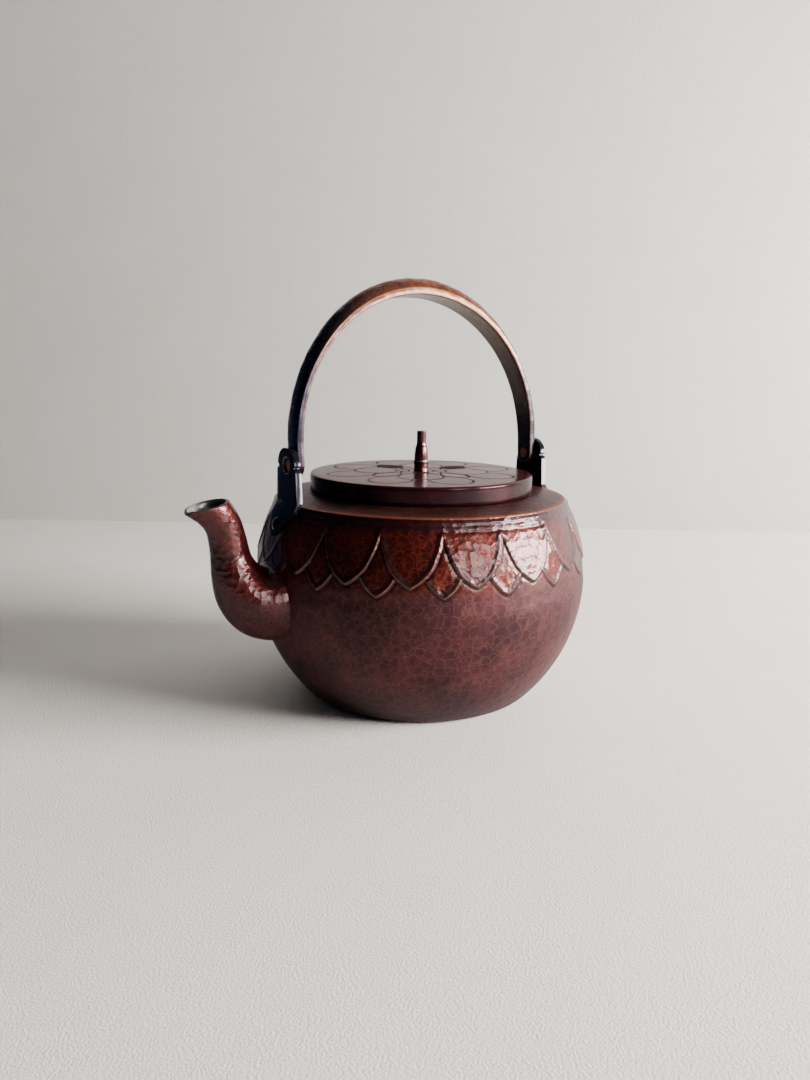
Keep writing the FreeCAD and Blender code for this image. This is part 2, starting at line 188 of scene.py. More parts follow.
def petal_relief(tree, place):
    """Height in mm of the chased band: big petals over the tips of the small ones between them."""
    big, small, along = petal_fields(tree, place)
    clear = add(tree, RANGE, big, 0.1, 0.7, **SOFTLY)
    low = add(tree, MATH, edge_profile(tree, small, SMALL_RISE, SMALL_CREST), clear, **TIMES)
    height = add(tree, MATH, edge_profile(tree, big, PLATE_RISE, CREST), low, operation="ADD")
    band = add(tree, RANGE, along, PETAL_TOP + 1.6, PETAL_TOP - 1.0, **SOFTLY)
    return add(tree, MATH, height, band, **TIMES)


def hammer_marks(tree, place, per_mm, measures=("F1",)):
    """How far a place is from the middle (F1) of its hammer mark or from the mark's edge, in marks."""
    wobble = add(tree, NOISE, place, 0.35, 2.0).outputs["Color"]
    shift = add(tree, VECTOR, wobble, (0.5, 0.5, 0.5), **LESS)
    place = add(tree, VECTOR, shift, (1.8, 1.8, 1.8), place, **TIMES_PLUS)
    return [add(tree, VORONOI, place, named={"Scale": per_mm, "Randomness": 0.8},
                feature=measure).outputs["Distance"] for measure in measures]


# ---- geometry trees -----------------------------------------------------------------------------
def new_tree(name, sizes, finish_count):
    """A geometry tree with named sizes and finishes, its input node, and the place of a point in mm."""
    tree = bpy.data.node_groups.new(name, "GeometryNodeTree")
    face = tree.interface
    face.new_socket("Skin", in_out="INPUT", socket_type="NodeSocketGeometry")
    for label, value in sizes.items():
        item = face.new_socket(label, in_out="INPUT", socket_type="NodeSocketFloat")
        item.default_value = value
    for number in range(finish_count):
        face.new_socket("Finish %d" % number, in_out="INPUT", socket_type="NodeSocketMaterial")
    face.new_socket("Skin", in_out="OUTPUT", socket_type="NodeSocketGeometry")
    source = tree.nodes.new("NodeGroupInput")
    return tree, source, add(tree, VECTOR, add(tree, "GeometryNodeInputPosition"), 1 / MM, **SCALED)


def read(tree, label, kind):
    """A mask or a number that the skin's points or faces carry."""
    return add(tree, "GeometryNodeInputNamedAttribute", label, data_type=kind).outputs["Attribute"]


def close_tree(tree, source, offset, finish_count):
    """Moves the skin's points by offset, gives its faces their finishes, and ends the tree."""
    moved = add(tree, "GeometryNodeSetPosition", source.outputs["Skin"], named={"Offset": offset})
    shown = add(tree, "GeometryNodeRealizeInstances", moved)
    part = read(tree, "finish", "INT")
    for number in range(finish_count):
        chosen = add(tree, "FunctionNodeCompare", part, number, data_type="INT", operation="EQUAL")
        finish = source.outputs["Finish %d" % number]
        shown = add(tree, "GeometryNodeSetMaterial", shown, chosen, finish)
    sink = tree.nodes.new("NodeGroupOutput")
    tree.links.new(shown.outputs[0], sink.inputs[0])
    return tree


def hammering_tree(name, chased, finish_count):
    """Moves a smooth skin's points along their normals: hammer facets, and the petal band if chased."""
    sizes = {"Facet size": FACET, "Facet depth": FACET_DEPTH, "Relief": 1.0}
    tree, source, place = new_tree(name, sizes, finish_count)
    scaled = add(tree, MATH, 1.0, source.outputs["Facet size"], operation="DIVIDE")
    middle = hammer_marks(tree, place, scaled)[0]
    squared = add(tree, MATH, middle, 2.0, operation="POWER")
    lowered = add(tree, MATH, add(tree, MATH, squared, DISH_REACH, **LESS), 0.0, operation="MINIMUM")
    height = add(tree, MATH, lowered, source.outputs["Facet depth"], **TIMES)
    height = add(tree, MATH, height, DISH_GAIN, **TIMES)
    height = add(tree, MATH, height, read(tree, "hammered", "FLOAT"), **TIMES)
    if chased:
        lowered = add(tree, MATH, petal_relief(tree, place), PLATE_RISE + PLATE_SINK, **LESS)
        relief = add(tree, MATH, lowered, source.outputs["Relief"], **TIMES)
        height = add(tree, MATH, relief, read(tree, "chased", "FLOAT"), height, **TIMES_PLUS)
    metres = add(tree, MATH, height, MM, **TIMES)
    offset = add(tree, VECTOR, add(tree, "GeometryNodeInputNormal"), metres, **SCALED)
    return close_tree(tree, source, offset, finish_count)


def applied(piece, modifier):
    """Turns a piece's mesh into what a modifier makes of it, and removes the modifier."""
    view = bpy.context.evaluated_depsgraph_get()
    mesh = bpy.data.meshes.new_from_object(piece.evaluated_get(view), depsgraph=view)
    piece.modifiers.remove(modifier)
    piece.data = mesh
    return piece


def run_tree(blank, tree, values):
    """Runs a geometry tree on an object and keeps the result as its plain mesh."""
    modifier = blank.modifiers.new(tree.name, "NODES")
    modifier.node_group = tree
    for item in tree.interface.items_tree:
        if item.in_out == "INPUT" and item.name in values:
            modifier[item.identifier] = values[item.name]
    return applied(blank, modifier)


# ---- meshes -------------------------------------------------------------------------------------
def new_piece(name, points, faces, finish=None, masks=None):
    """A mesh object at the origin from points in mm, with a finish number per face and point masks."""
    mesh = bpy.data.meshes.new(name)
    mesh.from_pydata((np.asarray(points) * MM).tolist(), [], faces)
    mesh.polygons.foreach_set("use_smooth", np.ones(len(mesh.polygons), dtype=bool))
    if finish is not None:
        layer = mesh.attributes.new("finish", "INT", "FACE")
        layer.data.foreach_set("value", np.asarray(finish, dtype=np.int32))
    for label, values in (masks or {}).items():
        layer = mesh.attributes.new(label, "FLOAT", "POINT")
        layer.data.foreach_set("value", np.asarray(values, dtype=np.float32))
    mesh.update()
    made = bpy.data.objects.new(name, mesh)
    bpy.context.scene.collection.objects.link(made)
    return made


def ring_faces(rows, columns, closed=False):
    """Quads between successive closed rings of points, and from the last to the first if closed."""
    faces = []
    for i in range(rows if closed else rows - 1):
        low = i * columns
        high = (i + 1) % rows * columns
        for j in range(columns):
            k = (j + 1) % columns
            faces.append((low + j, low + k, high + k, high + j))
    return faces


def spun(profile, columns):
    """Points of a profile of (radius, height) spun about Z, ring after ring."""
    turns = np.arange(columns) * TAU / columns
    return np.vstack([np.column_stack([r * np.cos(turns), r * np.sin(turns), np.full(columns, z)])
                      for r, z in profile])


def outward(piece):
    """Makes the faces of a closed piece point outwards."""
    work = bmesh.new()
    work.from_mesh(piece.data)
    bmesh.ops.recalc_face_normals(work, faces=work.faces)
    work.to_mesh(piece.data)
    work.free()


def arc_points(centre, radius, start, stop, spacing):
    """Points along an arc of a profile, about spacing apart, its start left out."""
    count = max(2, round(abs(stop - start) * radius / spacing))
    turns = [start + (stop - start) * (i + 1) / count for i in range(count)]
    return [(centre[0] + radius * math.cos(t), centre[1] + radius * math.sin(t)) for t in turns]


def line_points(start, stop, spacing):
    count = max(1, round(math.dist(start, stop) / spacing))
    return [(start[0] + (stop[0] - start[0]) * (i + 1) / count,
             start[1] + (stop[1] - start[1]) * (i + 1) / count) for i in range(count)]


def wall_profile(inset, fine, coarse):
    """Base corner, belly and shoulder of the body up to its neck, moved inwards by inset."""
    reach = BELLY_R - BASE_CORNER
    corner_r = math.sqrt(reach ** 2 - (BELLY_Z - BASE_CORNER) ** 2)
    lean = math.atan2(BASE_CORNER - BELLY_Z, corner_r)
    shoulder = (SHOULDER_CENTRE_R, BELLY_Z)
    band = math.asin((CHASED_FULL - BELLY_Z) / SHOULDER_R)
    neck = math.asin((NECK_Z - 0.35 * inset - BELLY_Z) / SHOULDER_R)
    points = [(corner_r, inset)]
    points += arc_points((corner_r, BASE_CORNER), BASE_CORNER - inset, -math.pi / 2, lean, coarse)
    points += arc_points((0, BELLY_Z), BELLY_R - inset, lean, 0, coarse)
    points += arc_points(shoulder, SHOULDER_R - inset, 0, band, coarse)
    points += arc_points(shoulder, SHOULDER_R - inset, band, neck, fine)
    return points


# ---- body ---------------------------------------------------------------------------------------
BODY_COLUMNS = 34 * PETALS
FINE, COARSE = 0.37, 1.3   # spacing of the body's points in the petal band and elsewhere
COVE = ((0.55, 0.75), (0.85, 1.5), (0.75, 2.1))     # inward from the neck, and up


def body_profile():
    """Whole section of the body from the middle of its base round to the middle of its inside."""
    outside = wall_profile(SKIN_GAP, FINE, COARSE)
    low = (4.0, SKIN_GAP)
    rows = [low] + line_points(low, outside[0], 9.0) + outside[1:]
    neck = rows[-1]
    rows += [(neck[0] - inward, NECK_Z + up) for inward, up in COVE]
    lip = RIDGE_Z - 0.02
    rows += [(RIDGE_R - 0.02, lip - 0.62), (RIDGE_R - 0.02, lip - 0.3), (RIDGE_R - 0.18, lip - 0.06),
             (RIDGE_R - 0.5, lip)]
    rows += line_points(rows[-1], (SEAT_R, SEAT_Z - 0.02), 1.5)
    rows += line_points(rows[-1], (MOUTH_R, SEAT_Z - 0.02), 1.5)
    outer_count = len(rows)
    under = SEAT_Z - SHEET
    rows += [(MOUTH_R, under), (SEAT_R, under), (RIDGE_R - 1.1, RIDGE_Z - 1.2)]
    inside = wall_profile(SHEET, 5.0, 5.0)[::-1]
    rows += inside + line_points(inside[-1], (4.0, SHEET), 12.0)
    return rows, outer_count


def smooth(value, low, high):
    share = np.clip((value - low) / (high - low), 0, 1)
    return share * share * (3 - 2 * share)


def kettle_skin(finishes):
    """Hammered and chased body, with its tinned inside and the hole that the spout stands round."""
    rows, outer_count = body_profile()
    points = spun(rows, BODY_COLUMNS)
    faces = ring_faces(len(rows), BODY_COLUMNS)
    last = (len(rows) - 1) * BODY_COLUMNS
    bottom, inner = len(points), len(points) + 1
    points = np.vstack([points, [[0, 0, SKIN_GAP], [0, 0, SHEET]]])
    for j in range(BODY_COLUMNS):
        k = (j + 1) % BODY_COLUMNS
        faces.append((j, bottom, k))
        faces.append((last + j, last + k, inner))
    finish = np.zeros(len(faces), dtype=int)
    finish[(outer_count - 1) * BODY_COLUMNS:(len(rows) - 1) * BODY_COLUMNS] = 1
    finish[-2 * BODY_COLUMNS + 1::2] = 1
    heights = points[:, 2]
    is_outside = np.arange(len(points)) < outer_count * BODY_COLUMNS
    hammered = is_outside * smooth(heights, 0.5, 5.0) * (1 - smooth(heights, NECK_Z - 0.9, NECK_Z))
    chased = is_outside * smooth(heights, CHASED_FROM, CHASED_FULL)
    chased = chased * (1 - smooth(heights, NECK_Z - 1.0, NECK_Z + 0.1))
    blank = new_piece("kettle_skin", points, faces, finish, {"hammered": hammered, "chased": chased})
    tree = hammering_tree("Hammered and chased skin", True, 2)
    shaped = run_tree(blank, tree, {"Finish 0": finishes[0], "Finish 1": finishes[1]})
    outward(shaped)
    return cut_spout_hole(shaped)


# ---- spout --------------------------------------------------------------------------------------
# Sections of the spout's middle line: distance out, height, direction above level in degrees, half
# height across the curve, half width.
SPOUT_ROWS = np.array([
    (50.0, 42.6, 0.0, 14.7, 14.7), (57.0, 42.6, 0.0, 14.7, 14.7), (64.0, 42.7, 3.0, 14.5, 14.6),
    (70.0, 44.3, 24.0, 13.3, 13.7), (74.4, 48.6, 50.0, 11.2, 11.9), (77.2, 54.4, 72.0, 8.9, 9.4),
    (78.9, 60.4, 83.0, 7.2, 7.4), (79.9, 66.6, 81.0, 6.6, 6.8), (81.4, 72.4, 71.0, 6.4, 6.8),
    (84.6, 77.4, 55.0, 6.6, 7.3), (89.6, 82.4, 42.0, 7.3, 7.7)])
SPOUT_COLUMNS = 128
SPOUT_LENGTHS = 110
MOUTH_BACK, MOUTH_TIP = (80.5, 81.2), (94.7, 78.2)
SPOUT_INSIDE_LENGTHS = 40
ROOT_DEPTH = 0.55          # how far the spout's root goes into the body's wall
BEAK = 0.42                # share of its width that the mouth's outer side loses
BORE_COLUMNS = 64
BORE_SHARES = (0.3, 1.0, 2.0, 3.0)     # places along the middle line of the hole through the body
SPOUT_FACET, SPOUT_FACET_DEPTH = 2.2, 0.035


def spout_section(share):
    """Section values at a place along the middle line, 0 at its root and 10 at its end."""
    k = int(min(max(math.floor(share), 0), len(SPOUT_ROWS) - 2))
    t = share - k
    before = SPOUT_ROWS[max(k - 1, 0)]
    after = SPOUT_ROWS[min(k + 2, len(SPOUT_ROWS) - 1)]
    a, b = SPOUT_ROWS[k], SPOUT_ROWS[k + 1]
    return 0.5 * (2 * a + (b - before) * t + (2 * before - 5 * a + 4 * b - after) * t ** 2
                  + (3 * a - before - 3 * b + after) * t ** 3)


def spout_point(share, turn, inset):
    """A place on the spout's skin; the section draws to a beak on its outer side near the mouth."""
    out, height, lean, high, wide = spout_section(share)
    lean = math.radians(lean)
    beak = float(smooth(share, 7.5, 9.6)) * max(0.0, -math.cos(turn))
    across = (high - inset) * math.cos(turn)
    sideways = (wide - inset) * math.sin(turn) * (1 - BEAK * beak ** 2)
    return np.array([-out + across * math.sin(lean), sideways, height + across * math.cos(lean)])


def outside_body(point):
    """Distance of a place outside the body's smooth wall."""
    radius = math.hypot(point[0], point[1])
    if point[2] < BELLY_Z:
        return math.hypot(radius, point[2] - BELLY_Z) - BELLY_R
    return math.hypot(radius - SHOULDER_CENTRE_R, point[2] - BELLY_Z) - SHOULDER_R


def above_mouth(point):
    """Height of a place above the plane of the spout's mouth."""
    along_x, along_z = -(MOUTH_TIP[0] - MOUTH_BACK[0]), MOUTH_TIP[1] - MOUTH_BACK[1]
    size = math.hypot(along_x, along_z)
    from_x, from_z = point[0] + MOUTH_BACK[0], point[2] - MOUTH_BACK[1]
    return (from_z * -along_x + from_x * along_z) / size


def crossing(test, low, high):
    """Where a rising function of a number passes zero."""
    for _ in range(30):
        middle = 0.5 * (low + high)
        if test(middle) < 0:
            low = middle
        else:
            high = middle
    return 0.5 * (low + high)


def spout_rings(inset, lift, rows):
    """Rings of the spout's outer or inner wall from the body to the mouth, lift below its plane."""
    grid = np.zeros((rows, SPOUT_COLUMNS, 3))
    for j in range(SPOUT_COLUMNS):
        turn = TAU * j / SPOUT_COLUMNS
        start = crossing(lambda s: outside_body(spout_point(s, turn, inset)) + ROOT_DEPTH, 0.0, 4.5)
        stop = crossing(lambda s: above_mouth(spout_point(s, turn, inset)) + lift, 6.5, 10.0)
        for i in range(rows):
            grid[i, j] = spout_point(start + (stop - start) * i / (rows - 1), turn, inset)
    return grid


def spout_skin(finishes):
    """Hammered spout with a rounded lip, open from the body to its beaked mouth."""
    lip = 0.5 * SHEET
    outer = spout_rings(SKIN_GAP, 0.3 * lip, SPOUT_LENGTHS)
    rim = [spout_rings(0.25 * lip, 0.06, 2)[-1], spout_rings(0.8 * lip, SKIN_GAP, 2)[-1],
           spout_rings(1.5 * lip, 0.06, 2)[-1]]
    inner = spout_rings(2 * lip, 0.4 * lip, SPOUT_INSIDE_LENGTHS)[::-1]
    rings = list(outer) + rim + list(inner)
    points = np.vstack(rings)
    faces = ring_faces(len(rings), SPOUT_COLUMNS, closed=True)
    finish = np.zeros(len(faces), dtype=int)
    finish[(SPOUT_LENGTHS + 1) * SPOUT_COLUMNS:] = 1
    number = np.arange(len(points)) // SPOUT_COLUMNS
    hammered = (number < SPOUT_LENGTHS) * (1 - 0.75 * smooth(number, 40, 100))
    blank = new_piece("spout_skin", points, faces, finish, {"hammered": hammered})
    tree = hammering_tree("Hammered skin", False, 2)
    shaped = run_tree(blank, tree, {"Facet size": SPOUT_FACET, "Facet depth": SPOUT_FACET_DEPTH,
                                    "Finish 0": finishes[0], "Finish 1": finishes[1]})
    outward(shaped)
    return shaped


def cut_spout_hole(body):
    """Cuts the spout's bore through the body's wall."""
    rings = []
    for share in BORE_SHARES:
        rings.append([spout_point(share, TAU * j / BORE_COLUMNS, SHEET + 0.3) for j in range(BORE_COLUMNS)])
    points = np.vstack(rings)
    faces = ring_faces(len(rings), BORE_COLUMNS)
    faces.append(tuple(range(BORE_COLUMNS - 1, -1, -1)))
    faces.append(tuple(range(len(points) - BORE_COLUMNS, len(points))))
    cutter = new_piece("bore", points, faces)
    outward(cutter)
    cut = body.modifiers.new("Bore", "BOOLEAN")
    cut.operation = "DIFFERENCE"
    cut.object = cutter
    cut.solver = "EXACT"
    applied(body, cut)
    bpy.data.objects.remove(cutter)
    return body


# ---- handle -------------------------------------------------------------------------------------
LUG_INNER_X = 55.2
HANDLE_EYE_T = 3.2
HANDLE_EYE_HALF = 4.1
HANDLE_GAP = 0.15          # side play between a lug and the handle
HANDLE_EYE_X = LUG_INNER_X - HANDLE_GAP - HANDLE_EYE_T
HANDLE_TOP_Z = 160.0
HANDLE_CROWN_T = 6.6
HANDLE_WIDTH = 11.0
HANDLE_EDGE_T = 1.8
HANDLE_LEAN = math.radians(3.7)
ARCH_START_Z = PIN_Z + 8.5
ARCH_RISE = HANDLE_TOP_Z - HANDLE_CROWN_T - ARCH_START_Z
ARCH_ROWS = 260
LEG_ROWS = 24
HANDLE_FACET, HANDLE_FACET_DEPTH = 4.4, 0.16
STRAP_CORNER = 0.45        # rounding of the strap's inner corners
CROWN_POINTS = 27          # points over the strap's arched outer face


def strap_outline(half, edge, thick):
    """Outline across the strap as (sideways, outward): flat inside, rounded corners, arched crown."""
    corner = STRAP_CORNER
    outline = [(-half + corner + (2 * half - 2 * corner) * k / 10, 0.0) for k in range(11)]
    side = max(edge - 0.3, corner + 0.1)
    for turn in (-60, -30, 0):
        t = math.radians(turn)
        outline.append((half - corner + corner * math.cos(t), corner + corner * math.sin(t)))
    outline.append((half, side))
    rise = max(thick - edge, 0.05)
    ball = (half ** 2 + rise ** 2) / (2 * rise)
    reach = math.asin(min(half / ball, 1.0))
    for k in range(CROWN_POINTS):
        t = reach * (1 - 2 * (k + 0.5) / CROWN_POINTS)
        outline.append((ball * math.sin(t), thick - ball * (1 - math.cos(t))))
    outline.append((-half, side))
    for turn in (180, 210, 240):
        t = math.radians(turn)
        outline.append((-half + corner + corner * math.cos(t), corner + corner * math.sin(t)))
    return outline


def strap_stations():
    """Places along the strap: inner point, outward direction, half width, edge and thickness."""
    stations = []
    flat = HANDLE_EYE_T - 0.02
    for k in range(LEG_ROWS):
        if k < LEG_ROWS / 2:
            turn = math.pi / 2 * (1 - k / (LEG_ROWS / 2 - 1))
            height = PIN_Z - HANDLE_EYE_HALF * math.sin(turn) * 0.995
            half = max(HANDLE_EYE_HALF * math.cos(turn), 0.5)
        else:
            share = (k - LEG_ROWS / 2 + 1) / (LEG_ROWS / 2 + 1)
            height = PIN_Z + (ARCH_START_Z - PIN_Z) * share
            half = HANDLE_EYE_HALF
        stations.append((-HANDLE_EYE_X, height, -1.0, 0.0, half, flat - 0.4, flat))
    for k in range(ARCH_ROWS):
        turn = math.pi * k / (ARCH_ROWS - 1)
        rise = math.sin(turn)
        thick = HANDLE_EYE_T + (HANDLE_CROWN_T - HANDLE_EYE_T) * rise ** 2 - 0.02
        edge = HANDLE_EDGE_T + (HANDLE_EYE_T - HANDLE_EDGE_T - 0.4) * (1 - rise) ** 2
        half = HANDLE_EYE_HALF + (0.5 * HANDLE_WIDTH - HANDLE_EYE_HALF) * math.sqrt(rise)
        size = math.hypot(math.cos(turn) * ARCH_RISE, rise * HANDLE_EYE_X)
        stations.append((-HANDLE_EYE_X * math.cos(turn), ARCH_START_Z + ARCH_RISE * rise,
                         -math.cos(turn) * ARCH_RISE / size, rise * HANDLE_EYE_X / size, half, edge, thick))
    for x, height, _, _, half, edge, thick in stations[LEG_ROWS - 1::-1]:
        stations.append((-x, height, 1.0, 0.0, half, edge, thick))
    return stations


def handle_skin(finish):
    """Bail handle: one forged strap with its eyes, hammered over the crown."""
    points = []
    crowned = []
    stations = strap_stations()
    for x, z, out_x, out_z, half, edge, thick in stations:
        for sideways, outward_by in strap_outline(half, edge, thick):
            points.append((x + out_x * outward_by, sideways, z + out_z * outward_by))
            crowned.append(outward_by / thick)
    points = np.array(points)
    columns = len(points) // len(stations)
    faces = ring_faces(len(stations), columns)
    faces.append(tuple(range(columns - 1, -1, -1)))
    faces.append(tuple(range(len(points) - columns, len(points))))
    up = points[:, 2] - PIN_Z
    side = points[:, 1].copy()
    points[:, 1] = side * math.cos(HANDLE_LEAN) + up * math.sin(HANDLE_LEAN)
    points[:, 2] = PIN_Z + up * math.cos(HANDLE_LEAN) - side * math.sin(HANDLE_LEAN)
    crowned = np.array(crowned)
    hammered = smooth(crowned, 0.1, 0.5) * smooth(up, 8.0, 16.0) + 0.12 * (crowned < 0.1)
    masks = {"hammered": hammered, "crowned": crowned}
    blank = new_piece("handle_skin", points, faces, masks=masks)
    outward(blank)
    tree = hammering_tree("Hammered strap", False, 1)
    return run_tree(blank, tree, {"Facet size": HANDLE_FACET, "Facet depth": HANDLE_FACET_DEPTH,
                                  "Finish 0": finish})


# ---- lid ----------------------------------------------------------------------------------------
LID_COLUMNS = 540
# Layers of the chased flower, the top one first: petals, turn, centre out, centre aside, radius.
FLOWER_TURN = math.radians(57)
FLOWER_AXIS = (math.cos(FLOWER_TURN), math.sin(FLOWER_TURN), 0.0)
FLOWER = [(8, FLOWER_TURN, 7.4, 0.0, 2.75), (4, FLOWER_TURN + math.pi / 4, 18.0, -4.1, 8.1),
          (4, FLOWER_TURN, 17.5, 0.0, 8.6), (8, FLOWER_TURN + math.pi / 8, 28.5, -1.5, 9.6)]
CHASED_LINE = 0.42         # half width of a chased line
CHASED_DEPTH = 0.2
LID_TOP = (LID_RIM_Z - 0.8, LID_RIM_Z - 0.1)       # heights between which the side turns into the top


def flower_lines(tree, place):
    """1 on the chased lines of the lid's flower, 1 inside its diamond petals, and the split place."""
    turn, radius, split = polar(tree, place)
    lines = clear = diamond = None
    for petals, start, out, aside, size in FLOWER:
        shifted = add(tree, MATH, turn, start, **LESS)
        fold = add(tree, MATH, shifted, math.pi / petals, operation="PINGPONG")
        along = add(tree, MATH, add(tree, MATH, fold, operation="COSINE"), radius, **TIMES)
        across = add(tree, MATH, add(tree, MATH, fold, operation="SINE"), radius, **TIMES)
        gap = circle_distance(tree, along, across, (out, aside, size))
        line = bump_at(tree, gap, 0.0, CHASED_LINE)
        outside = add(tree, RANGE, gap, -0.1, 0.1, **SOFTLY)
        if lines is None:
            lines, clear = line, outside
        else:
            shown = add(tree, MATH, line, clear, **TIMES)
            if diamond is None:
                diamond = add(tree, MATH, add(tree, MATH, 1.0, outside, **LESS), clear,
                              **TIMES)
            lines = add(tree, MATH, lines, shown, **LARGER)
            clear = add(tree, MATH, clear, outside, **TIMES)
    return lines, diamond, split


def engraving_tree():
    """Sinks the chased flower into the lid's top."""
    tree, source, place = new_tree("Chased flower", {"Depth": CHASED_DEPTH}, 1)
    lines, _, split = flower_lines(tree, place)
    top = add(tree, RANGE, split.outputs["Z"], *LID_TOP, **SOFTLY)
    sunk = add(tree, MATH, lines, top, **TIMES)
    sunk = add(tree, MATH, sunk, source.outputs["Depth"], **TIMES)
    offset = add(tree, JOIN, 0.0, 0.0, add(tree, MATH, sunk, -MM, **TIMES))
    return close_tree(tree, source, offset, 1)


def lid_skin(finish):
    """Cap lid: crowned top with a chased flower, a rounded edge and a straight skirt."""
    flat_r = LID_R - LID_EDGE
    crown = [(2.0 + (flat_r - 2.0) * k / 92) for k in range(93)]
    rows = [(r, LID_RIM_Z + LID_CROWN * (1 - (r / flat_r) ** 2) - SKIN_GAP) for r in crown]
    for k in range(1, 6):
        t = math.radians(90 - 18 * k)
        reach = LID_EDGE - SKIN_GAP
        rows.append((flat_r + reach * math.cos(t), LID_RIM_Z - LID_EDGE + reach * math.sin(t)))
    rows += line_points(rows[-1], (LID_R - SKIN_GAP, SEAT_Z + 0.35), 1.2)
    rows += [(LID_R - 0.3, SEAT_Z + 0.05), (LID_R - LID_SHEET + 0.2, SEAT_Z + 0.05)]
    rows += [(LID_R - LID_SHEET, SEAT_Z + 0.3), (LID_R - LID_SHEET, LID_RIM_Z - LID_SHEET)]
    rows += line_points(rows[-1], (TENON_R, LID_RIM_Z - LID_SHEET), 10.0)
    points = spun(rows, LID_COLUMNS)
    faces = ring_faces(len(rows), LID_COLUMNS, closed=True)
    blank = new_piece("lid_skin", points, faces)
    outward(blank)
    return run_tree(blank, engraving_tree(), {"Finish 0": finish})


# ---- lugs ---------------------------------------------------------------------------------------
FLAT_TO, SHARP_FROM, CREASE_FROM = math.radians(1.5), math.radians(38), math.radians(50)


def softened_copy(node_name, name, width):
    """Copy of a forged solid with its sharp edges eased."""
    made = bpy.data.objects.new(name, NODES[node_name].data.copy())
    bpy.context.scene.collection.objects.link(made)
    work = bmesh.new()
    work.from_mesh(made.data)
    bmesh.ops.remove_doubles(work, verts=work.verts, dist=0.01 * MM)
    bmesh.ops.dissolve_limit(work, angle_limit=FLAT_TO, verts=work.verts, edges=work.edges)
    sharp = [e for e in work.edges if len(e.link_faces) == 2 and e.calc_face_angle(0) > SHARP_FROM]
    bmesh.ops.bevel(work, geom=sharp, offset=width * MM, offset_type="OFFSET", segments=3, profile=0.5,
                    affect="EDGES", clamp_overlap=True)
    bmesh.ops.recalc_face_normals(work, faces=work.faces)
    for face in work.faces:
        face.smooth = True
    work.to_mesh(made.data)
    work.free()
    made.data.set_sharp_from_angle(angle=CREASE_FROM)
    return made


# ---- finishes: a noise is given its place, scale per mm, detail and roughness -------------------
TOOL_PITCH = 0.35          # spacing of the lathe tool's rings, as coarse as it needs to show


def new_finish(name):
    """A new material, its node tree, and the place on the object in mm."""
    made = bpy.data.materials.new(name)
    made.use_nodes = True
    tree = made.node_tree
    place = add(tree, VECTOR, add(tree, "ShaderNodeTexCoord").outputs["Object"], 1 / MM, **SCALED)
    return made, tree, place


def finished(made, sockets, height=None):
    """Feeds the sockets of a material's Principled shader, and its fine relief from a height in mm."""
    tree = made.node_tree
    if height:
        sockets["Normal"] = add(tree, BUMP, named={"Strength": 0.5, "Distance": MM, "Height": height})
    shader = next(n for n in tree.nodes if n.type == "BSDF_PRINCIPLED")
    for label, value in sockets.items():
        feed(tree, shader.inputs[label], value)
    return made


def ringed_marks(tree, place, size):
    """Dish of each hammer mark of a size in mm, and the thin broken lines round the marks."""
    middle, edge = hammer_marks(tree, place, 1.0 / size, ("F1", "DISTANCE_TO_EDGE"))
    depth = add(tree, MATH, middle, 2.0, operation="POWER")
    patchy = add(tree, NOISE, place, 0.32, 4.0, 0.65)
    shown = add(tree, RANGE, patchy, 0.40, 0.60, **SOFTLY)
    hidden = add(tree, RANGE, patchy, 0.64, 0.46, **SOFTLY)
    ring = add(tree, MATH, bump_at(tree, middle, 0.42, 0.1), shown, **TIMES)
    seam = add(tree, MATH, add(tree, RANGE, edge, 0.065, 0.012, **SOFTLY), hidden, **TIMES)
    return depth, add(tree, MATH, ring, seam, **LARGER)


# Low and high tone of the dry lower part, then of the glossy upper part.
BODY_TONES = ("260f12", "411d1f", "1f0708", "46130d")
SPOUT_TONES = ("200b0f", "38171a", "1d0608", "461214")
# A petal's bevel darkened as painted shade, the groove outside it darker, the crest between them a painted
# highlight: distance outside the petal in mm, half width, how much of the tone shows, tone.
BORDER_SHADE_AND_HIGHLIGHT = ((-1.2, 1.0, 0.85, "1c1718"), (0.75, 0.6, 0.9, "0d0708"), (-0.1, 0.25, 0.3, "746259"))


